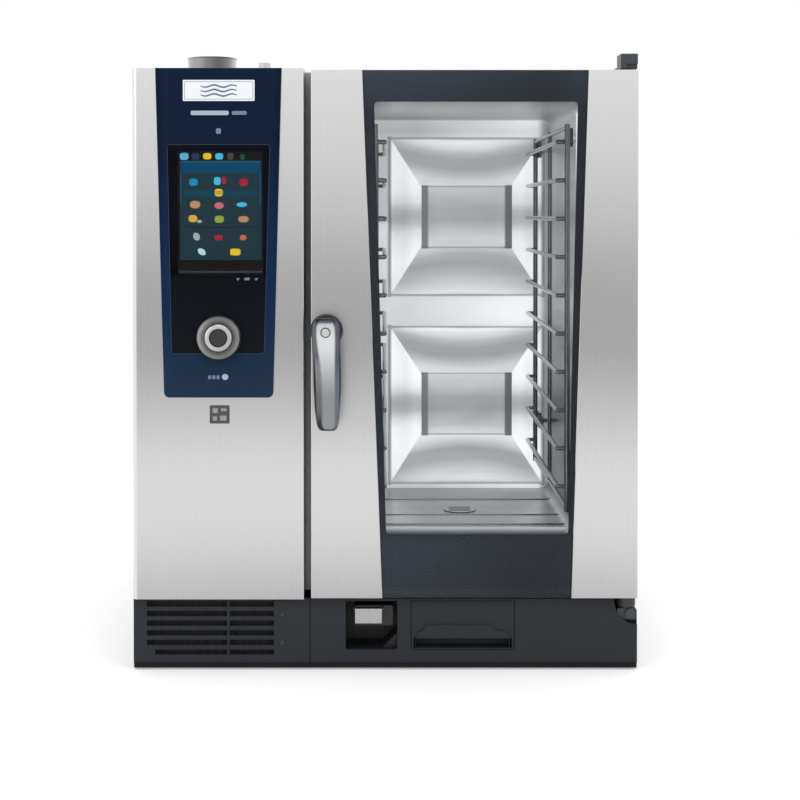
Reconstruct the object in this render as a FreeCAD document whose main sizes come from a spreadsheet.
import FreeCAD, Part
import math
import os

import Sketcher

# Combi steamer oven, counter-top size for ten GN 1/1 levels, as an assembly of separate pieces.
#
# Frame: millimetres, +Z up, the front faces -Y, origin at the centre of the footprint on the floor.
# Main volumes: a dark base (water, drain, hand shower, care drawer), a control column on the left,
# the insulated cooking chamber behind a right-hinged glazed door, and an outer steel casing.
#
# Lower-case names at module level are driving dimensions or follow from them.
# Upper-case names are fixed measures.

Vector = FreeCAD.Vector
doc = FreeCAD.newDocument("combi_steamer_oven")
sheet = doc.addObject("Spreadsheet::Sheet", "dims")


class Dim:
    """A length that carries its spreadsheet expression and its value."""

    def __init__(self, text, value):
        self.text = text
        self.value = float(value)

    @staticmethod
    def of(x):
        if isinstance(x, Dim):
            return x
        return Dim("(%.6f)" % x if x < 0 else "%.6f" % x, x)

    def __add__(self, other):
        other = Dim.of(other)
        return Dim("(%s + %s)" % (self.text, other.text), self.value + other.value)

    def __sub__(self, other):
        other = Dim.of(other)
        return Dim("(%s - %s)" % (self.text, other.text), self.value - other.value)

    def __mul__(self, other):
        other = Dim.of(other)
        return Dim("(%s * %s)" % (self.text, other.text), self.value * other.value)

    def __neg__(self):
        return Dim("(0 - %s)" % self.text, -self.value)

    @property
    def live(self):
        """True when the length depends on a spreadsheet cell."""
        return "dims." in self.text


sheet_rows = []


def cell(alias, value, note=""):
    """Write a driving dimension to the next sheet row."""
    sheet_rows.append(alias)
    row = len(sheet_rows)
    sheet.set("A%d" % row, alias)
    sheet.set("B%d" % row, "%.6g" % value)
    sheet.setAlias("B%d" % row, alias)
    if note:
        sheet.set("C%d" % row, note)
    return Dim("dims." + alias, value)


# ---------------------------------------------------------------- driving dimensions
half_width = cell("half_width", 425, "half of the 850 mm casing width")
body_top = cell("body_top", 1014, "casing height without the flue")
skin = cell("skin_thick", 1.5, "outer casing sheet")
column_right = cell("column_right", -137, "right edge of the control column")
column_front = cell("column_front", -357, "front plane of the control column")
door_left = cell("door_left", -125)
door_right = cell("door_right", 424.5)
door_front = cell("door_front", -359)
door_back = cell("door_back", -293)
door_bottom = cell("door_bottom", 123.5)
door_top = cell("door_top", 1011)
flange_y = cell("flange_plane", -288, "front plane of the chamber front frame")
base_height = cell("base_height", 121)
foot_height = cell("foot_height", 12)
base_front = cell("base_front", -352)
base_rear = cell("base_rear", 371)
body_rear = cell("body_rear", 410)
hinge_x = cell("hinge_axis_x", 408)
hinge_y = cell("hinge_axis_y", -332)
cavity_left = cell("cavity_left", -165)
cavity_right = cell("cavity_right", 355)
cavity_rear = cell("cavity_rear", 355)
cavity_floor = cell("cavity_floor", 175)
cavity_ceiling = cell("cavity_ceiling", 971)
cavity_wall = cell("cavity_sheet", 2)
opening_left = cell("opening_left", -48)
opening_right = cell("opening_right", 353)
fan_y = cell("fan_axis_y", 40)
fan_low = cell("fan_low_z", 380)
fan_high = cell("fan_high_z", 765)
fan_radius = cell("fan_radius", 122)
shaft_radius = cell("fan_shaft_radius", 8)
rail_first = cell("first_rail_z", 285)
rail_pitch = cell("rail_pitch", 68, "level spacing")
rail_count = cell("rail_levels", 10)
rack_left = cell("rack_post_left", -18)
rack_right = cell("rack_post_right", 323)
post_front = cell("rack_post_front", -215)
post_back = cell("rack_post_back", 325)
dial_x = cell("dial_x", -279)
dial_z = cell("dial_z", 562.6)
dial_radius = cell("dial_radius", 37.5)
handle_x = cell("handle_pivot_x", -98.5)
handle_z = cell("handle_pivot_z", 574.5)
drain_x = cell("drain_x", 150)
drain_y = cell("drain_y", 120)
drain_radius = cell("drain_radius", 25, "DN 50 waste pipe")
flue_x = cell("flue_x", -324.7)
flue_y = cell("flue_y", -59)
flue_radius = cell("flue_radius", 45)
flue_top = cell("flue_top", 1061)
thread_radius = cell("water_thread_radius", 13.2, "three-quarter inch hose thread")
plinth_low = cell("plinth_low_edge", 2.5, "gap under the plinth skirt")
slot_low = cell("lowest_slot_z", 30.6)
slot_pitch = cell("slot_pitch", 16.3)
fascia_top = cell("fascia_top_z", 1014)
fascia_low = cell("fascia_bottom_z", 461.5)
inlay_top = cell("glass_top_z", 885)
inlay_low = cell("glass_bottom_z", 536)
stamp_left = cell("stamp_left", 12)
stamp_right = cell("stamp_right", 340)
glass_top_left = cell("door_glass_top_left", -38.3)
glass_top_right = cell("door_glass_top_right", 339.8)
glass_low_left = cell("door_glass_low_left", -4.4)
glass_low_right = cell("door_glass_low_right", 312)
doc.recompute()


# ---------------------------------------------------------------- binding and naming
def val(x):
    return Dim.of(x).value


def bind(obj, prop, x):
    """Set a property, by expression when x depends on the sheet."""
    x = Dim.of(x)
    if x.live:
        obj.setExpression(prop, x.text)
    else:
        setattr(obj, prop, x.value)


def place(obj, x, y, z, rotation=None):
    base = Vector(val(x), val(y), val(z))
    obj.Placement = FreeCAD.Placement(base, rotation or FreeCAD.Rotation())
    for name, length in (("x", x), ("y", y), ("z", z)):
        length = Dim.of(length)
        if length.live:
            obj.setExpression("Placement.Base." + name, length.text)
    return obj


names_used = []


def unique_name(base):
    names_used.append(base)
    return "%s_%03d" % (base, len(names_used))


# ---------------------------------------------------------------- Part primitives
AXIS_ROTATION = {
    "x": FreeCAD.Rotation(Vector(0, 1, 0), 90),
    "y": FreeCAD.Rotation(Vector(1, 0, 0), -90),
    "z": FreeCAD.Rotation(),
}


def box(x0, x1, y0, y1, z0, z1):
    obj = doc.addObject("Part::Box", unique_name("box"))
    x0, x1, y0, y1, z0, z1 = map(Dim.of, (x0, x1, y0, y1, z0, z1))
    bind(obj, "Length", x1 - x0)
    bind(obj, "Width", y1 - y0)
    bind(obj, "Height", z1 - z0)
    return place(obj, x0, y0, z0)


def axial(kind, name, axis, start, u, v, **sizes):
    """Round solid on an axis. (u, v) are its other two coordinates, in X, Y, Z order."""
    obj = doc.addObject("Part::" + kind, unique_name(name))
    for prop, size in sizes.items():
        bind(obj, prop, size)
    origin = {"x": (start, u, v), "y": (u, start, v), "z": (u, v, start)}[axis]
    return place(obj, *origin, rotation=AXIS_ROTATION[axis])


def cyl(axis, radius, start, end, u, v):
    height = Dim.of(end) - start
    return axial("Cylinder", "cyl", axis, start, u, v, Radius=radius, Height=height)


def cone(axis, radius0, radius1, start, end, u, v):
    height = Dim.of(end) - start
    return axial("Cone", "cone", axis, start, u, v,
                 Radius1=radius0, Radius2=radius1, Height=height)


def torus(axis, radius, wire_radius, centre, u, v):
    return axial("Torus", "torus", axis, centre, u, v, Radius1=radius, Radius2=wire_radius)


def fuse(*objs):
    if len(objs) == 1:
        return objs[0]
    obj = doc.addObject("Part::MultiFuse", unique_name("fuse"))
    obj.Shapes = list(objs)
    obj.Refine = True
    return obj


def cut(base, *tools):
    obj = doc.addObject("Part::Cut", unique_name("cut"))
    obj.Base = base
    obj.Tool = fuse(*tools)
    obj.Refine = True
    return obj


def group(*objs):
    obj = doc.addObject("Part::Compound", unique_name("group"))
    obj.Links = list(objs)
    return obj


def feature(name, shape):
    obj = doc.addObject("Part::Feature", unique_name(name))
    obj.Shape = shape
    return obj


def round_edges(base, radius, pick):
    doc.recompute()
    edges = [i + 1 for i, edge in enumerate(base.Shape.Edges) if pick(edge)]
    obj = doc.addObject("Part::Fillet", unique_name("round"))
    obj.Base = base
    obj.Edges = [(i, radius, radius) for i in edges]
    return obj


# ---------------------------------------------------------------- edge selectors
def along(edge, axis):
    """True for a straight edge parallel to that axis."""
    if edge.Curve.TypeId != "Part::GeomLine":
        return False
    span = edge.Vertexes[-1].Point - edge.Vertexes[0].Point
    return span.Length > 1e-6 and abs(abs(getattr(span, axis)) - span.Length) < 1e-6


def mid(edge):
    return edge.BoundBox.Center


def at(axis, spots, tol=0.6):
    """Edges parallel to axis whose middle is near one of the given (u, v) spots."""
    first, second = {"x": "yz", "y": "xz", "z": "xy"}[axis]

    def pick(edge):
        if not along(edge, axis):
            return False
        u, v = getattr(mid(edge), first), getattr(mid(edge), second)
        return any(abs(u - val(a)) < tol and abs(v - val(b)) < tol for a, b in spots)

    return pick


def at_y(y):
    """Edges whose middle lies in the plane at y."""
    return lambda edge: abs(mid(edge).y - val(y)) < 0.01


# ---------------------------------------------------------------- frames: (u0, u1, v0, v1)
def rect(u0, u1, v0, v1):
    return [(u0, v0), (u1, v0), (u1, v1), (u0, v1)]


def corners(u0, u1, v0, v1):
    return [(u, v) for u in (u0, u1) for v in (v0, v1)]


def grow(frame, gap):
    u0, u1, v0, v1 = frame
    return u0 - gap, u1 + gap, v0 - gap, v1 + gap


def slab(frame, y0, y1):
    """Box over an (x0, x1, z0, z1) frame."""
    x0, x1, z0, z1 = frame
    return box(x0, x1, y0, y1, z0, z1)


# ---------------------------------------------------------------- PartDesign bodies
class Body:
    """A PartDesign body whose sketches have every point held by a dimension.

    Pads grow along the plane's normal: +X for yz, +Z for xy, but -Y (forward) for xz.
    """

    def __init__(self, name):
        self.obj = doc.addObject("PartDesign::Body", name + "_body")

    def new(self, kind, name):
        return self.obj.newObject("PartDesign::" + kind, unique_name(name))

    def finish(self, feat):
        self.obj.Tip = feat
        return feat

    def sketch(self, plane, offset, *loops):
        """offset is the plane's coordinate. Loops: a list of (u, v) points, or (u, v, radius)."""
        sk = self.obj.newObject("Sketcher::SketchObject", unique_name("sk"))
        role = plane.upper() + "_Plane"
        support = next(o for o in self.obj.Origin.OriginFeatures if o.Role == role)
        sk.AttachmentSupport = [(support, "")]
        sk.MapMode = "FlatFace"
        offset = Dim.of(offset)
        if plane == "xz":
            offset = -offset
        sk.AttachmentOffset = FreeCAD.Placement(Vector(0, 0, offset.value), FreeCAD.Rotation())
        if offset.live:
            sk.setExpression("AttachmentOffset.Base.z", offset.text)
        held = []

        def hold(kind, length, *where):
            index = sk.addConstraint(Sketcher.Constraint(kind, *where, length.value))
            held.append((index, length))

        for loop in loops:
            if isinstance(loop, tuple):
                u, v, radius = map(Dim.of, loop)
                circle = Part.Circle(Vector(u.value, v.value, 0), Vector(0, 0, 1), radius.value)
                index = sk.addGeometry(circle, False)
                hold("DistanceX", u, index, 3)
                hold("DistanceY", v, index, 3)
                hold("Radius", radius, index)
                continue
            points = [(Dim.of(u), Dim.of(v)) for u, v in loop]
            flat = [Vector(u.value, v.value, 0) for u, v in points]
            ends = flat[1:] + flat[:1]
            lines = [sk.addGeometry(Part.LineSegment(a, b), False) for a, b in zip(flat, ends)]
            for line, following in zip(lines, lines[1:] + lines[:1]):
                sk.addConstraint(Sketcher.Constraint("Coincident", line, 2, following, 1))
            for line, (u, v) in zip(lines, points):
                hold("DistanceX", u, line, 1)
                hold("DistanceY", v, line, 1)
        for index, length in held:
            if length.live:
                sk.renameConstraint(index, "c%d" % index)
                sk.setExpression("Constraints.c%d" % index, length.text)
        return sk

    def pad(self, sketch, length, backward=False):
        pad = self.new("Pad", "pad")
        pad.Profile = sketch
        bind(pad, "Length", length)
        pad.Reversed = backward
        pad.Midplane = False
        return self.finish(pad)

    def pocket(self, sketch, length, backward=False, both_ways=True):
        pocket = self.new("Pocket", "pocket")
        pocket.Profile = sketch
        bind(pocket, "Length", length)
        pocket.Midplane = both_ways
        pocket.Reversed = backward
        return self.finish(pocket)

    def revolve(self, sketch):
        """Full turn about the sketch's horizontal axis."""
        turn = self.new("Revolution", "rev")
        turn.Profile = sketch
        turn.ReferenceAxis = (sketch, ["H_Axis"])
        turn.Angle = 360
        return self.finish(turn)

    def loft(self, start, end, subtract=False):
        loft = self.new("SubtractiveLoft" if subtract else "AdditiveLoft", "loft")
        loft.Profile = start
        loft.Sections = [end]
        loft.Ruled = True
        return self.finish(loft)

    def stack(self, feat, sketch, pitch, count):
        """Repeat a feature along the sketch's vertical axis."""
        pattern = self.new("LinearPattern", "lin")
        pattern.Originals = [feat]
        pattern.Direction = (sketch, ["V_Axis"])
        bind(pattern, "Length", pitch * (count - 1))
        pattern.Occurrences = count
        return self.finish(pattern)

    def polar(self, feat, sketch, count):
        """Repeat a feature round the sketch's normal."""
        pattern = self.new("PolarPattern", "polar")
        pattern.Originals = [feat]
        pattern.Axis = (sketch, ["N_Axis"])
        pattern.Angle = 360
        pattern.Occurrences = count
        return self.finish(pattern)

    def fillet(self, radius, pick):
        doc.recompute()
        base = self.obj.Tip
        names = ["Edge%d" % (i + 1) for i, edge in enumerate(base.Shape.Edges) if pick(edge)]
        if not names:
            raise RuntimeError("no edges for a fillet on " + self.obj.Label)
        fillet = self.new("Fillet", "fillet")
        fillet.Base = (base, names)
        bind(fillet, "Radius", radius)
        return self.finish(fillet)


builders = []


def piece(build):
    """Register a function that builds one piece; the piece is labelled after it."""
    builders.append(build)
    return build


# ================================================================ base
LINER = 1.5  # sheet of the boxes set into the base front
REEL_Y, REEL_Z = 100, 50
WASTE_Z = 65
SERVICE_Z = 70  # water inlets and power cable
VALVE_XS = (-300, -235)
CABLE_X = -150
SHOWER_X, SHOWER_Z = -20, 88
TRIGGER_Y, TRIGGER_Z = -343.5, 100.5  # pin of the shower lever
BAY_BACK = -287.5
BAY = (-66.8, 20.2, 34.8, 117)
GRILLE_SCREWS = [(-174, 94.4), (-174, 45.5)]
behind_panel = base_front + 6.1  # 0.1 behind the 6 mm base front panels
inner_half = half_width - 1.6  # 0.1 inside the side panels


@piece
def base_tray():
    """Floor, side and rear walls of the base, with service holes and two reel stands."""
    floor = foot_height + skin
    outer = box(-half_width, half_width, behind_panel, base_rear, plinth_low, base_height)
    inner = box(-half_width + skin, half_width - skin, base_front, base_rear - skin,
                floor, base_height + 5)
    under = box(-half_width + skin, half_width - skin, behind_panel + skin, base_rear - skin,
                0, foot_height)
    tray = cut(outer, inner, under)
    stands = [
        cut(box(x, x + 3, 85, 115, floor, 60), cyl("x", 4.05, x - 1, x + 4, REEL_Y, REEL_Z))
        for x in (-45, 2)
    ]
    holes = [(drain_radius + 2.3, drain_x, WASTE_Z)]
    holes += [(17.3, x, SERVICE_Z) for x in VALVE_XS]
    holes += [(12.3, CABLE_X, SERVICE_Z)]
    return cut(
        fuse(tray, *stands),
        *[cyl("y", radius, base_rear - 5, base_rear + 5, x, z) for radius, x, z in holes],
        box(420, 430, -352, -312, 100, 125),  # front right corner, at the lower hinge
    )


@piece
def intake_grille():
    """Left base panel with the air intake louvres."""

    def slots(left, z, half_height):
        """One row: two slots either side of a narrow web."""
        low, high = z - half_height, z + half_height
        return rect(left, -266.8, low, high), rect(-262.8, -188, low, high)

    body = Body("intake_grille")
    face = rect(-half_width, -127.5, foot_height, base_height)
    body.pad(body.sketch("xz", base_front + 6, face), 6)
    row = body.sketch("xz", base_front + 3, *slots(-402, slot_low + slot_pitch, 4.6))
    body.stack(body.pocket(row, 20), row, slot_pitch, 5)
    # The lowest row is shorter and narrower.
    body.pocket(body.sketch("xz", base_front + 3, *slots(-388, slot_low, 4.2)), 20)
    screw_holes = [(x, z, 2.2) for x, z in GRILLE_SCREWS]
    body.pocket(body.sketch("xz", base_front + 3, *screw_holes), 20)
    body.fillet(3, at("z", [(-half_width, base_front)]))
    on_front = at_y(base_front)
    top_z = base_height.value
    body.fillet(1.2, lambda edge: along(edge, "x") and on_front(edge) and mid(edge).z > top_z - 1)
    return body


@piece
def base_front_panel():
    """Right base panel with the shower bay, the drawer opening and the hinge corner."""
    drawer = (43, 218, 34.5, 117.5)
    body = Body("base_front_panel")
    face = rect(-126.5, half_width, foot_height, base_height)
    body.pad(body.sketch("xz", base_front + 6, face, rect(*BAY), rect(*drawer)), 6)
    body.pocket(body.sketch("xz", base_front + 3, (427, 118, 41)), 20)
    body.fillet(3, at("y", [(x, frame[2]) for frame in (BAY, drawer) for x in frame[:2]]))
    body.fillet(3, at("z", [(half_width, base_front)]))
    return body


@piece
def levelling_feet():
    return group(*[
        fuse(cyl("z", 22, 0, 7, x, y), cyl("z", 9, 7, foot_height, x, y))
        for x in (-370, 370) for y in (-290, 320)
    ])


def liner_box(inside, back, *holes):
    """Sheet box behind the base panels, open to the front."""
    outer = slab(grow(inside, LINER), behind_panel, back + LINER)
    return cut(outer, slab(inside, base_front, back), *holes)


@piece
def shower_bay():
    """Recess for the hand shower, with a wedge in its lower right corner."""
    well = liner_box(BAY, BAY_BACK, cyl("y", 9, -290, -280, SHOWER_X, SHOWER_Z))
    right, bottom = BAY[1], BAY[2]
    wedge = Body("bay_wedge")
    profile = [(right, bottom), (right, 60), (-4, bottom)]
    wedge.pad(wedge.sketch("xz", BAY_BACK, profile), 50)
    return fuse(well, wedge.obj)


@piece
def drawer_housing():
    return liner_box((48, 213, 34.5, 116), -171.5)


@piece
def deck_plate():
    """Plate over the base, with holes at the drain and at (-300, 270)."""
    outline = [
        (-inner_half, -343), (-half_width + 12, -354.5),
        (column_right - 2.6, -354.5), (column_right - 2.1, -286),
        (inner_half, -286), (inner_half, body_rear - 1.6), (-inner_half, body_rear - 1.6),
    ]
    holes = [(drain_x, drain_y, drain_radius + 3), (-300, 270, 20)]
    body = Body("deck_plate")
    body.pad(body.sketch("xy", base_height, outline, *holes), 1.5)
    return body


@piece
def shower_gun():
    """Hand shower body with two ears for the lever pin."""
    grip = round_edges(
        box(-53, 13, -338, -302, 72, 106), 4,
        lambda edge: along(edge, "y") or abs(mid(edge).y + 302) < 0.1,
    )
    ears = fuse(*[box(x, x + 2.1, -346.5, -336, 95, 105) for x in (-53.5, -5.6)])
    return cut(
        fuse(grip, ears, cyl("y", 8, -304, -296, SHOWER_X, SHOWER_Z)),
        *[cyl("x", 1.56, x, x + 5, TRIGGER_Y, TRIGGER_Z) for x in (-55, -7)],
    )


@piece
def shower_trigger():
    lever = box(-51, -6, -345, -342, 76.5, 102.3)
    lever = round_edges(lever, 1.3, lambda edge: along(edge, "x"))
    return fuse(lever, cyl("x", 1.5, -53.4, -3.6, TRIGGER_Y, TRIGGER_Z))


@piece
def shower_hose():
    return cyl("y", 7, -296, 356, SHOWER_X, SHOWER_Z)


@piece
def hose_reel():
    """Drum, two flanges and axle: radius, left, right."""
    discs = [(30, -33, -7), (35, -34, -30), (35, -10, -6), (4, -45, 5)]
    return fuse(*[cyl("x", radius, x0, x1, REEL_Y, REEL_Z) for radius, x0, x1 in discs])


@piece
def care_drawer():
    """Care product drawer: front with a finger recess under a raised lip, and a tray behind."""
    front_back = base_front + 6
    tray = cut(
        fuse(box(44, 217, base_front, front_back, 35.5, 116.5),
             box(50, 211, front_back, -175, 36, 100)),
        box(51.5, 209.5, -326.5, -176.5, 38, 101),
        box(47, 214, base_front - 1, base_front + 7, 37.5, 54),
        box(52, 209, base_front + 5, -328, 37.5, 56),
    )
    lip_depth = 4.5
    outline = [  # x, z
        (52, 54), (209, 54), (209, 60), (201, 66), (186, 68),
        (180, 77), (70, 77), (64, 68), (56, 66), (52, 60),
    ]
    lip = Body("drawer_lip")
    lip.pad(lip.sketch("xz", base_front, outline), lip_depth)
    lip.fillet(2.5, at_y(base_front - lip_depth))
    return fuse(tray, lip.obj)


@piece
def drain_box():
    """Hollow box with a pipe up to the chamber floor and a waste outlet to the rear."""
    bore = drain_radius - 2
    tank = fuse(
        box(60, 240, 60, 340, 20, 110),
        cyl("z", drain_radius, 105, cavity_floor - 0.2, drain_x, drain_y),
        cyl("y", drain_radius + 2, 335, base_rear + 2, drain_x, WASTE_Z),
        cyl("y", drain_radius, 335, 421, drain_x, WASTE_Z),
    )
    return cut(
        tank,
        box(62, 238, 62, 338, 22, 108),
        cyl("z", bore, 100, cavity_floor + 5, drain_x, drain_y),
        cyl("y", bore, 330, 425, drain_x, WASTE_Z),
    )


@piece
def water_valves():
    """Each: block, coil on top, collar through the rear wall and threaded inlet."""
    return group(*[
        cut(
            fuse(
                box(x - 22, x + 22, 290, 345, 45, 95),
                cyl("z", 15, 95, 116, x, 315),
                cyl("y", 17, 345, 379, x, SERVICE_Z),
                cyl("y", thread_radius, 379, 399, x, SERVICE_Z),
            ),
            cyl("y", 9, 350, 400, x, SERVICE_Z),
        )
        for x in VALVE_XS
    ])


@piece
def cable_gland():
    return fuse(
        cyl("y", 12, 340, 378, CABLE_X, SERVICE_Z),
        cyl("y", 17, 372, 382, CABLE_X, SERVICE_Z),
        cone("y", 14, 10, 382, 396, CABLE_X, SERVICE_Z),
    )


# ================================================================ casing
REAR_SCREWS = [(x, z) for x in (-400, -200, 0, 200, 400) for z in (140, 995)]
REAR_SCREWS += [(x, z) for x in (-408, 408) for z in (350, 567, 780)]
RELIEF_X, RELIEF_Y = -214.5, -200  # small vent beside the flue


def side_panel(name, x, front, rounded):
    body = Body(name)
    body.pad(body.sketch("yz", x, rect(front, body_rear, base_height, body_top)), skin)
    body.fillet(1, at("z", rounded))
    return body


@piece
def left_side_panel():
    return side_panel("left_panel", -half_width, -334, [(-half_width, body_rear)])


@piece
def right_side_panel():
    rounded = [(half_width, body_rear), (half_width, flange_y)]
    return side_panel("right_panel", half_width - skin, flange_y, rounded)


@piece
def rear_panel():
    body = Body("rear_panel")
    face = rect(-half_width + skin, half_width - skin, base_height, body_top - 2)
    body.pad(body.sketch("xz", body_rear, face), 1.5)
    for lowest, count in ((620, 12), (220, 8)):
        slot = body.sketch("xz", body_rear - 0.7, rect(-395, -235, lowest, lowest + 7))
        body.stack(body.pocket(slot, 10), slot, 20, count)
    screw_holes = [(x, z, 2.6) for x, z in REAR_SCREWS]
    body.pocket(body.sketch("xz", body_rear - 0.7, *screw_holes), 10)
    return body


@piece
def top_panel():
    """Roof, reaching further forward over the control column, with two vent holes."""
    front = column_front + 2.1
    step_x = column_right - 2.6
    outline = [
        (-inner_half, -343), (-half_width + 13, front), (step_x, front), (step_x, flange_y),
        (inner_half, flange_y), (inner_half, body_rear), (-inner_half, body_rear),
    ]
    holes = [(flue_x, flue_y, flue_radius - 0.7), (RELIEF_X, RELIEF_Y, 8.8)]
    body = Body("top_panel")
    body.pad(body.sketch("xy", body_top - 2, outline, *holes), 2)
    return body


# ================================================================ control column
DIAL_HOLE = (dial_x, dial_z, 9)
FASCIA_THICK = 4


@piece
def control_front_panel():
    """Front sheet of the control column, folded back on both sides."""
    outline = [
        (-half_width, -334.2), (-half_width, column_front),
        (column_right, column_front), (column_right, -289),
        (column_right - skin, -289), (column_right - skin, column_front + skin),
        (-half_width + skin, column_front + skin), (-half_width + skin, -334.2),
    ]
    body = Body("control_front")
    body.pad(body.sketch("xy", base_height, outline), body_top - base_height)
    body.fillet(9, at("z", [outline[1]]))
    body.fillet(7.5, at("z", [outline[6]]))
    body.fillet(1.6, at("z", [outline[2]]))
    body.pocket(body.sketch("xz", -356, rect(-353, -206, 662, 874), DIAL_HOLE), 12)
    return body


@piece
def gap_strip():
    """Strip between the control column and the door."""
    return box(column_right + 0.2, door_left - 2.6, -296, flange_y, door_bottom - 2, door_top)


def inlay_outline(gap):
    """Outline of the fascia glass, moved in by gap; the two lower corners come first."""
    low, high = inlay_low + gap, inlay_top - gap
    return [(-357.7 + gap, low), (-204.0 - gap, low), (-194 - gap, high), (-364.5 + gap, high)]


@piece
def control_fascia():
    """Tapering plate with a recess for the glass, and openings for the display and the dial."""
    outline = [(-371.2, fascia_low), (-188.4, fascia_low),
               (-173.7, fascia_top), (-385.4, fascia_top)]
    front = column_front - FASCIA_THICK
    body = Body("fascia")
    body.pad(body.sketch("xz", column_front, outline), FASCIA_THICK)
    body.fillet(9, at("y", outline[:2]))
    body.fillet(1.5, at_y(front))
    recess = inlay_outline(0)
    body.pocket(body.sketch("xz", front, recess), 2.5, both_ways=False)
    body.fillet(6, at("y", recess[:2]))
    display = rect(-352, -207, 663, 873)
    body.pocket(body.sketch("xz", column_front - 2, display, DIAL_HOLE), 12)
    return body


@piece
def fascia_glass():
    gap = 0.3
    outline = inlay_outline(gap)
    body = Body("fascia_glass")
    body.pad(body.sketch("xz", column_front - 1.5, outline), 2.5)
    body.fillet(6 - gap, at("y", outline[:2]))
    body.pocket(body.sketch("xz", column_front - 2, (dial_x, dial_z, dial_radius + 1.5)), 12)
    return body


@piece
def touch_display():
    return fuse(
        box(-350, -209, column_front - 0.3, -348, 665, 871.5),
        box(-359, -200, -355.3, -351, 655, 881),
        box(-340, -219, -348, -342, 690, 846),
    )


@piece
def control_module():
    """Electronics block with 14 rear fins and a bore for the dial shaft."""
    module = fuse(
        box(-400, -160, -338, -300, 505, 985),
        cyl("y", 15, -350, -338, dial_x, dial_z),
        *[box(-390 + 16 * i, -387 + 16 * i, -300, -288, 620, 960) for i in range(14)],
    )
    return cut(module, cyl("y", 4.05, -352, -320, dial_x, dial_z))


def turned_dial_part(name, profile):
    """Turn a (y, radius) profile about the dial axis."""
    body = Body(name)
    body.revolve(body.sketch("yz", 0, profile))
    place(body.obj, dial_x, 0, dial_z)
    return body


@piece
def dial_ring():
    """Turning ring around the push cap."""
    return turned_dial_part("dial_ring", [
        (-362.6, 4.06), (-362.6, dial_radius - 1), (-364, dial_radius), (-369.5, dial_radius),
        (-372.5, dial_radius - 2.2), (-373.6, dial_radius - 6), (-372.2, dial_radius - 11.5),
        (-371.6, dial_radius - 13), (-374.2, dial_radius - 15), (-375.4, dial_radius - 17.2),
        (-374.8, 15.3), (-368, 15.3), (-368, 4.06),
    ])


@piece
def dial_cap():
    """Push cap with the dial shaft."""
    return turned_dial_part("dial_cap", [
        (-343, 0), (-343, 4), (-369, 4), (-369, 14.8),
        (-372.6, 14.8), (-373.6, 13.4), (-373.2, 8), (-372.8, 0),
    ])


# ================================================================ chamber
CAVITY = (cavity_left, cavity_right, cavity_floor, cavity_ceiling)
SHELL = grow(CAVITY, cavity_wall)
OPENING = (opening_left, opening_right, cavity_floor + 2, cavity_ceiling - 2)
FANS = [(fan_y, fan_low), (fan_y, fan_high)]  # y, z
STUDS = [(-190, 905), (300, 905), (-190, 330), (300, 330)]  # y, z of the rack studs
STEAM_X, STEAM_Y, STEAM_Z = -300, 270, 500  # elbow of the steam pipe
FLUE_INLET_Z = 915


def coil_ends(y, z):
    """(y, z) of the two straight ends of the heating coil around a fan."""
    return [(y - 60, z - 128), (y + 60, z - 128)]


def wall_ports(shaft, coil_end, steam, flue):
    """(y, z, radius) of the holes on the left of the chamber, from the radius of each kind."""
    ports = [(STEAM_Y, STEAM_Z, steam), (flue_y, FLUE_INLET_Z, flue)]
    for y, z in FANS:
        ports.append((y, z, shaft))
        ports += [(end_y, end_z, coil_end) for end_y, end_z in coil_ends(y, z)]
    return ports


@piece
def cooking_chamber():
    """Four-walled tube, open to front and rear, with the studs of the right rack."""
    body = Body("cooking_chamber")
    tube = body.sketch("xz", cavity_rear, rect(*SHELL), rect(*CAVITY))
    body.pad(tube, cavity_rear - flange_y - 2)
    body.fillet(22, at("y", corners(*SHELL)))
    body.fillet(20, at("y", corners(*CAVITY)))
    body.pocket(body.sketch("yz", cavity_left - 1, *wall_ports(12, 7, 14.3, 30.3)), 10)
    drain_hole = (drain_x, drain_y, drain_radius + 0.3)
    body.pocket(body.sketch("xy", cavity_floor - 1, drain_hole), 10)
    pins = body.sketch("yz", cavity_right, *[(y, z, 5) for y, z in STUDS])
    body.pad(pins, cavity_right - 325, backward=True)
    collars = body.sketch("yz", 337.5, *[(y, z, 9) for y, z in STUDS])
    body.pad(collars, 4, backward=True)
    return body


@piece
def chamber_rear_wall():
    """Rear wall with two deep stamped panels."""
    body = Body("rear_wall")
    body.pad(body.sketch("xz", cavity_rear + cavity_wall, rect(*SHELL)), cavity_wall)
    # Mouth and root of each stamping: the outside of both first, then the hollows.
    stampings = [
        ((stamp_left, stamp_right, z - 168, z + 168), (89, 265, z - 67, z + 67))
        for z in (763, 355)
    ]
    for mouth, root in stampings:
        start = body.sketch("xz", cavity_rear + 1.9, rect(*grow(mouth, 1.5)))
        end = body.sketch("xz", cavity_rear + 20, rect(*grow(root, 2)))
        body.loft(start, end)
        body.pad(body.sketch("xz", cavity_rear + 20, rect(*root)), 6, backward=True)
    for mouth, root in stampings:
        start = body.sketch("xz", cavity_rear - 0.1, rect(*mouth))
        end = body.sketch("xz", cavity_rear + 18, rect(*root))
        body.loft(start, end, subtract=True)
        bottom = body.sketch("xz", cavity_rear + 17.9, rect(*grow(root, -2)))
        body.pocket(bottom, 6.1, backward=True, both_ways=False)
    return body


@piece
def chamber_front_frame():
    body = Body("front_frame")
    outer = rect(column_right - 1.4, inner_half, base_height + 1.6, door_top + 0.9)
    body.pad(body.sketch("xz", flange_y + 2, outer, rect(*OPENING)), 2)
    body.fillet(22, at("y", corners(*OPENING)))
    return body


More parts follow.
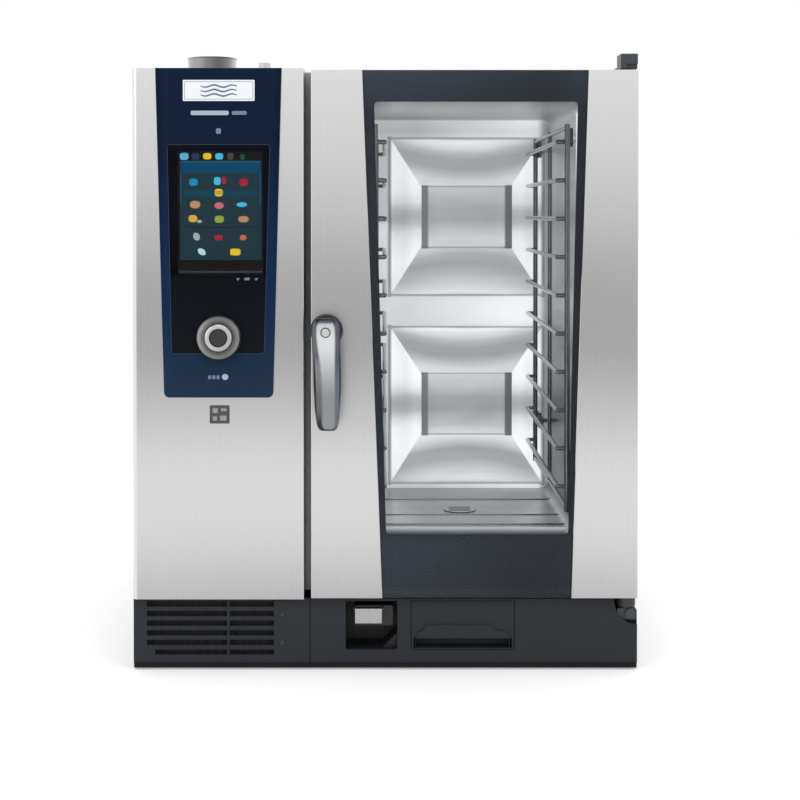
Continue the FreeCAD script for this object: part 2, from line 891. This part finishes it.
@piece
def door_gasket():
    """Rounded ring around the opening, standing forward of the front frame."""
    depth = 5
    outer, inner = grow(OPENING, 18), grow(OPENING, 4)
    body = Body("gasket")
    body.pad(body.sketch("xz", flange_y, rect(*outer), rect(*inner)), depth)
    body.fillet(34, at("y", corners(*outer)))
    body.fillet(22, at("y", corners(*inner)))
    body.fillet(1.8, at_y(flange_y - depth))
    return body


@piece
def insulation():
    """Block around the chamber, with clearance for everything that passes through."""
    return cut(
        box(-203, 421, flange_y + 2.1, 406, 123, 1010),
        slab(grow(SHELL, 0.3), flange_y, cavity_rear + cavity_wall + 0.3),
        box(4, 348, cavity_rear, cavity_rear + 28, 182, 936),
        cyl("z", drain_radius + 4, 120, 180, drain_x, drain_y),
        *[cyl("x", radius, -210, -160, y, z) for y, z, radius in wall_ports(18, 8, 17, 34)],
    )


@piece
def partition_plate():
    """Upright plate between the left bay and the insulation."""
    body = Body("partition")
    face = rect(-285, 405, base_height + 1.6, 1011.5)
    body.pad(body.sketch("yz", -205, face, *wall_ports(18, 8, 17, 34)), 1.5)
    return body


@piece
def air_baffle():
    """Plate on the chamber side of the fans: suction holes, left rack studs and four legs."""
    left, thick = -50, 1.5
    body = Body("air_baffle")
    body.pad(body.sketch("yz", left, rect(-262, 332, 205, 941)), thick)
    body.fillet(14, lambda edge: along(edge, "x"))
    holes = []
    for y, z in FANS:
        for ring, count in ((32, 6), (60, 12), (88, 18)):
            for i in range(count):
                angle = 2 * math.pi * i / count
                holes.append((y + ring * math.cos(angle), z + ring * math.sin(angle), 8.5))
    body.pocket(body.sketch("yz", -49.2, *holes), 10)
    body.pad(body.sketch("yz", left + thick, *[(y, z, 5) for y, z in STUDS]), 28)
    legs = [(y, z, 6) for y, z in corners(-246, 316, 220, 926)]
    body.pad(body.sketch("yz", left, *legs), -cavity_left + left, backward=True)
    return body


@piece
def heating_coils():
    """Three rings around each fan, with two straight ends to the left."""
    wire = 4.2
    return group(*[
        fuse(
            *[torus("x", 141.4, wire, x, y, z) for x in (-138, -118, -98)],
            *[cyl("x", wire, -240, -96, end_y, end_z) for end_y, end_z in coil_ends(y, z)],
        )
        for y, z in FANS
    ])


@piece
def fan_motors():
    """Each: casing, mounting flange, end cap, terminal box and five cooling fins."""
    return group(*[
        cut(
            fuse(
                cyl("x", 60, -365, -205, y, z),
                cyl("x", 72, -213, -205.1, y, z),
                cyl("x", 50, -378, -365, y, z),
                box(-330, -260, y - 22, y + 22, z + 50, z + 78),
                *[box(-350, -225, y - 64, y + 64, z - 26 + 13 * i, z - 24 + 13 * i)
                  for i in range(5)],
            ),
            cyl("x", shaft_radius + 0.05, -262, -204, y, z),
        )
        for y, z in FANS
    ])


def fan_wheel(name, z):
    """Radial fan wheel and shaft, modelled about its own axis and placed by the body."""
    disc, blade_width = 2, 66
    body = Body(name)
    body.pad(body.sketch("yz", 0, (0, 0, fan_radius)), disc)
    body.pad(body.sketch("yz", disc, (0, 0, 20)), 34)
    blade_sketch = body.sketch("yz", disc, rect(68, 118, -1, 1))
    blade = body.pad(blade_sketch, blade_width)
    body.polar(blade, blade_sketch, 18)
    body.pad(body.sketch("yz", disc + blade_width, (0, 0, fan_radius), (0, 0, 98)), 2)
    body.pad(body.sketch("yz", 0, (0, 0, shaft_radius)), 105, backward=True)
    place(body.obj, -150, fan_y, z)
    return body


@piece
def fan_wheel_lower():
    return fan_wheel("fan_wheel_lower", fan_low)


@piece
def fan_wheel_upper():
    return fan_wheel("fan_wheel_upper", fan_high)


def hanging_rack(post_x, reach, hook_x):
    """Frame of posts, rods and hook plates, and one bent wire rail per level.

    reach runs from the posts in to the rails; hook_x is the left face of the hook plates.
    """
    post_radius, wire = 5, 4.0
    hook_right = hook_x + 5.6
    slot = 5.6  # half width of the hook slot over a stud
    bottom = rail_first - 45
    top = rail_first + rail_pitch * (rail_count - 1) + 32
    rods = [
        cyl("z", post_radius, bottom, top, post_x, post_front),
        cyl("z", post_radius, bottom, top, post_x, post_back),
        cyl("z", wire, bottom, top, post_x, 55),
        cyl("y", wire, post_front, post_back, post_x, top - 6),
        cyl("y", wire, post_front, post_back, post_x, bottom + 6),
    ]
    hooks = []
    for y, z in STUDS:
        y0, y1 = (post_front, y + 14) if y < 0 else (y - 14, post_back)
        hooks.append(cut(
            box(hook_x, hook_right, y0, y1, z - 16, z + 17),
            cyl("x", slot, hook_x - 1, hook_right + 1, y, z),
            box(hook_x - 1, hook_right + 1, y - slot, y + slot, z - 20, z),
        ))
    frame = fuse(*rods, *hooks)
    doc.recompute()

    front, back, height = post_front.value, post_back.value, (top - bottom).value
    rail_x = post_x.value + reach
    arm_x = min(post_x.value, rail_x)
    posts = Part.makeCompound([
        Part.makeCylinder(post_radius, height, Vector(post_x.value, y, bottom.value))
        for y in (front, back)
    ])
    levels = []
    for i in range(int(rail_count.value)):
        z = rail_first.value + rail_pitch.value * i
        arms = [Part.makeCylinder(wire, abs(reach), Vector(arm_x, y, z), Vector(1, 0, 0))
                for y in (front, back)]
        bends = [Part.makeSphere(wire, Vector(rail_x, y, z)) for y in (front, back)]
        rail = Part.makeCylinder(wire, back - front, Vector(rail_x, front, z), Vector(0, 1, 0))
        levels.append(rail.multiFuse(arms + bends).removeSplitter().cut(posts))
    return group(frame, feature("rails", Part.makeCompound(levels)))


@piece
def hanging_rack_left():
    return hanging_rack(rack_left, 17, -28)


@piece
def hanging_rack_right():
    return hanging_rack(rack_right, -17, 327.4)


@piece
def drain_sieve():
    """Disc on the cavity floor with five slots."""
    slots = [
        box(drain_x - 22, drain_x + 22, drain_y - 18 + 9 * i, drain_y - 14 + 9 * i,
            cavity_floor - 1, cavity_floor + 3)
        for i in range(5)
    ]
    return cut(cyl("z", 33, cavity_floor, cavity_floor + 2, drain_x, drain_y), *slots)


@piece
def steam_generator():
    """Hollow tank with a lid, two bosses on the left, and a bent pipe into the chamber."""
    pipe_radius = 14
    bottom = base_height + 1.6
    tank = box(-400, -220, 150, 390, bottom, 400)
    tank = round_edges(tank, 12, lambda edge: along(edge, "z"))
    tank = cut(
        fuse(
            tank,
            box(-390, -230, 160, 380, 400, 412),
            cyl("z", 17, 412, 430, STEAM_X, STEAM_Y),
            *[cyl("x", 20, -412, -400, y, 220) for y in (200, 340)],
        ),
        box(-397, -223, 153, 387, bottom + 3, 397),
        cyl("z", 12, 390, 435, STEAM_X, STEAM_Y),
    )
    elbow = doc.addObject("Part::Sphere", unique_name("elbow"))
    elbow.Radius = pipe_radius
    place(elbow, STEAM_X, STEAM_Y, STEAM_Z)
    pipe = fuse(
        cyl("z", pipe_radius, 430.1, STEAM_Z, STEAM_X, STEAM_Y),
        cyl("x", pipe_radius, STEAM_X, -158, STEAM_Y, STEAM_Z),
        elbow,
    )
    return group(tank, pipe)


# ---------------------------------------------------------------- flue
FLAP_Z = 990
FLAP_BORE = 3.06  # bore radius for the flap shaft


@piece
def flue_pipes():
    """Short stack with a side inlet from the chamber, and a small relief vent beside it."""
    stack = cut(
        fuse(
            cyl("z", flue_radius - 1, 880, body_top, flue_x, flue_y),
            cyl("z", flue_radius, body_top, flue_top, flue_x, flue_y),
            cyl("x", 30, flue_x, -162, flue_y, FLUE_INLET_Z),
        ),
        cyl("z", flue_radius - 2, 882, flue_top + 5, flue_x, flue_y),
        cyl("x", 28, flue_x, -150, flue_y, FLUE_INLET_Z),
        cyl("y", FLAP_BORE, flue_y - 60, flue_y + 60, flue_x, FLAP_Z),
    )
    relief = cut(
        fuse(cyl("z", 8.5, 985, 1014, RELIEF_X, RELIEF_Y),
             cyl("z", 10, body_top, 1038, RELIEF_X, RELIEF_Y)),
        cyl("z", 7, 984, 1042, RELIEF_X, RELIEF_Y),
    )
    return group(stack, relief)


@piece
def vent_flap():
    """Disc across the stack, on its shaft."""
    return fuse(
        cyl("z", flue_radius - 2.5, FLAP_Z - 1, FLAP_Z + 1, flue_x, flue_y),
        cyl("y", 3, flue_y - 54, flue_y + 75, flue_x, FLAP_Z),
    )


@piece
def flap_motor():
    return cut(
        box(-350, -306, flue_y + 60, flue_y + 110, 968, 1010),
        cyl("y", FLAP_BORE, flue_y + 50, flue_y + 80, flue_x, FLAP_Z),
    )


# ================================================================ door
WINDOW = (-32, 332, 215, 968)
PANE = grow(WINDOW, -1.6)
DOOR_SHEET = 1.5
LATCH_Y, LATCH_Z = -336, 572  # pivot of the latch hook


@piece
def outer_glass():
    """Front glass, wider at the top than at the bottom."""
    outline = [(glass_low_left, door_bottom), (glass_low_right, door_bottom),
               (glass_top_right, door_top), (glass_top_left, door_top)]
    body = Body("outer_glass")
    body.pad(body.sketch("xz", door_front + 5, outline), 5)
    return body


def door_skin(name, face, side_left, side_right):
    """Sheet beside the glass with its outer edge folded back."""
    body = Body(name)
    body.pad(body.sketch("xz", door_front + skin, face), skin)
    side = rect(side_left, side_right, door_front + 0.5, door_back - 1)
    body.pad(body.sketch("xy", door_bottom, side), door_top - door_bottom)
    return body


@piece
def door_skin_left():
    face = [(door_left, door_bottom), (glass_low_left - 0.8, door_bottom),
            (glass_top_left - 0.8, door_top), (door_left, door_top)]
    body = door_skin("skin_left", face, door_left, door_left + skin)
    body.pocket(body.sketch("xz", door_front + 0.7, (handle_x, handle_z, 8)), 10)
    body.fillet(1.6, at("z", [(door_left, door_front)]))
    return body


@piece
def door_skin_right():
    face = [(glass_low_right + 0.8, door_bottom), (door_right, door_bottom),
            (door_right, door_top), (glass_top_right + 0.8, door_top)]
    body = door_skin("skin_right", face, door_right - skin, door_right)
    body.fillet(1.6, at("z", [(door_right, door_front)]))
    return body


@piece
def door_panel():
    """Hollow door box with a framed window, the latch case and the lower hinge lug."""
    front, back = -353.9, door_back - 1
    outline = (door_left + 1.6, door_right - 1.6, door_bottom, door_top)
    shell = cut(slab(outline, front, back),
                slab(grow(outline, -DOOR_SHEET), -355, back - DOOR_SHEET))
    panel = fuse(shell, slab(WINDOW, front, back))
    lug = cut(cyl("z", 16.4, 106, door_bottom, hinge_x, hinge_y),
              cyl("z", 12, 100, 130, hinge_x, hinge_y))
    latch_case = fuse(
        cut(box(-97, -62, -344, -294.5, 515, 620), box(-94, -65, -345, -290, 518, 617)),
        cyl("x", 3, -95, -64, LATCH_Y, LATCH_Z),
    )
    panel = cut(
        panel,
        slab(grow(WINDOW, -DOOR_SHEET), -360, -290),
        cyl("z", 10, door_top - 5, door_top + 5, hinge_x, hinge_y),
        cyl("z", 12, door_bottom - 5, door_bottom + 5, hinge_x, hinge_y),
        box(-94, -65, -300, -290, 518, 617),
    )
    return fuse(panel, latch_case, lug)


@piece
def middle_glass():
    return slab(PANE, -334, -330)


@piece
def inner_glass():
    return slab(PANE, door_back - 7, door_back - 2)


@piece
def door_led_bars():
    return group(*[box(x, x + 8.3, -350, -338, 245, 940) for x in (-30.3, 322)])


@piece
def door_bushes():
    """Upper and lower bush on the hinge axis."""
    return group(
        cut(cyl("z", 10, 978, door_top - 0.1, hinge_x, hinge_y),
            cyl("z", 6.05, 970, 1020, hinge_x, hinge_y)),
        cut(cyl("z", 12, 106, 158, hinge_x, hinge_y),
            cyl("z", 8.05, 100, 170, hinge_x, hinge_y)),
    )


# ---------------------------------------------------------------- latch and handle
PLATE_FRONT = -366


@piece
def strike_bracket():
    """Strike pin between two arms on the front frame."""
    return fuse(
        box(-90, -67, flange_y - 2, flange_y, 535, 600),
        *[box(x, x + 3, -320, flange_y - 1, 540, 575) for x in (-88, -71)],
        cyl("x", 4, -86, -70, -312, 556),
    )


@piece
def latch_hook():
    outline = [  # y, z
        (-343, 566), (-339, 563), (-318, 566), (-314, 570), (-303.5, 570), (-303, 561.5),
        (-296, 561.5), (-295.2, 566), (-300, 577), (-332, 580), (-342, 578),
    ]
    body = Body("latch_hook")
    body.pad(body.sketch("yz", -82, outline), 8)
    body.pocket(body.sketch("yz", -78, (LATCH_Y, LATCH_Z, 3.06)), 20)
    return body


@piece
def handle_plate():
    """Round plate on the door front, bored for the spindle."""
    disc = cyl("y", 27.6, PLATE_FRONT, door_front, handle_x, handle_z)
    return cut(round_edges(disc, 3, at_y(PLATE_FRONT)),
               cyl("y", 6.06, -380, -350, handle_x, handle_z))


# Sections of the handle lever from its head down to its tip. Columns: z, left and right at
# the widest depth, left and right of the front face, then y of the front, the widest depth
# and the back.
LEVER_SECTIONS = [
    (597.6, -108, -89, -104, -93, -399.5, -396, -392.5),
    (596, -113, -84, -108.5, -88.5, -403.4, -397.4, -390.2),
    (590.6, -117.6, -79, -112.4, -84.6, -407.4, -398.8, -386.8),
    (582, -120.6, -75.9, -113.9, -82.9, -409.4, -399.6, -384),
    (566, -121.6, -74.8, -113.6, -82.4, -410.6, -400.5, -384),
    (540, -120, -74.2, -110.4, -82.4, -412.4, -402, -386.5),
    (505, -118.6, -73, -106.4, -82.5, -415.4, -405, -391),
    (470, -117.2, -73.6, -105.2, -82.4, -418.6, -408.5, -395.5),
    (440, -115, -75.6, -104.6, -82.2, -420.6, -411, -399.5),
    (424, -112.6, -77.2, -104.2, -82.6, -421, -412, -403),
    (417, -109.6, -80, -102.6, -84.6, -419.8, -413, -405.5),
    (414, -104.6, -84.4, -99.6, -88.6, -417.4, -414, -409),
]


@piece
def handle_lever():
    wires = []
    for z, left, right, face_left, face_right, front, widest, back in LEVER_SECTIONS:
        shoulder = widest + 0.62 * (front - widest)
        ring = [
            (left, widest), (left + 0.3 * (face_left - left), shoulder),
            (face_left, front + 0.7), (face_left + 2.2, front),
            (face_right - 2.2, front), (face_right, front + 0.7),
            (right + 0.3 * (face_right - right), shoulder), (right, widest),
            (right - 3.5, back), (left + 3.5, back),
        ]
        points = [Vector(x, y, z) for x, y in ring]
        wires.append(Part.makePolygon(points + points[:1]))
    lever = feature("lever_loft", Part.makeLoft(wires, True, False))
    head = cyl("y", 17, -398, -366.4, handle_x, handle_z)
    return cut(fuse(lever, head), cyl("y", 6, -390, -360, handle_x, handle_z))


@piece
def handle_spindle():
    return fuse(cyl("y", 6, -390, -347, handle_x, handle_z),
                cyl("y", 8, -352, -347, handle_x, handle_z))


# ================================================================ hinges and screws
@piece
def hinge_brackets():
    """Upper and lower bracket, each with its hinge pin."""
    upper = fuse(
        cut(
            fuse(box(396, 424.5, -349, -240, body_top, body_top + 6),
                 box(396, 424.5, -349, -306, body_top + 5, body_top + 25)),
            box(406, 426, -351, -343, body_top - 1, body_top + 8),
        ),
        cyl("z", 6, 982, body_top + 20, hinge_x, hinge_y),
    )
    lower = fuse(
        box(392, 423.4, -345.8, -296, 84, 103),
        box(414, 423.4, -336, -300, foot_height + 1.6, 90),
        cyl("z", 13, 102, 105.7, hinge_x, hinge_y),
        cyl("z", 8, 102, 152, hinge_x, hinge_y),
        cyl("y", 8.5, -351, -340, 413.5, 95.2),
    )
    return group(upper, lower)


@piece
def panel_screws():
    """Screws of the rear panel and of the intake grille."""
    rear = [
        fuse(cyl("y", 2.5, body_rear - 3.6, body_rear + 0.5, x, z),
             cone("y", 5, 3.4, body_rear, body_rear + 2.6, x, z))
        for x, z in REAR_SCREWS
    ]
    grille = [
        fuse(cyl("y", 2.1, base_front - 0.5, base_front + 7, x, z),
             cone("y", 2.6, 4.2, base_front - 2, base_front, x, z))
        for x, z in GRILLE_SCREWS
    ]
    return group(*rear, *grille)


# ================================================================ build, check and write
pieces = []
for build in builders:
    built = build()
    built = built.obj if isinstance(built, Body) else built
    built.Label = build.__name__
    pieces.append(built)
doc.recompute()

faults = []
for obj in doc.Objects:
    if any(state in ("Invalid", "Error") for state in obj.State):
        faults.append("%s (%s) is %s" % (obj.Name, obj.Label, obj.State))
for obj in pieces:
    if obj.Shape.isNull() or not obj.Shape.isValid() or not obj.Shape.Solids:
        faults.append("%s has no valid solid" % obj.Label)
if faults:
    raise SystemExit("stopped: " + "; ".join(faults[:20]))

os.makedirs("parts", exist_ok=True)
for name in os.listdir("parts"):
    if name.endswith(".step"):
        os.remove(os.path.join("parts", name))
for obj in pieces:
    obj.Shape.exportStep(os.path.join("parts", obj.Label + ".step"))
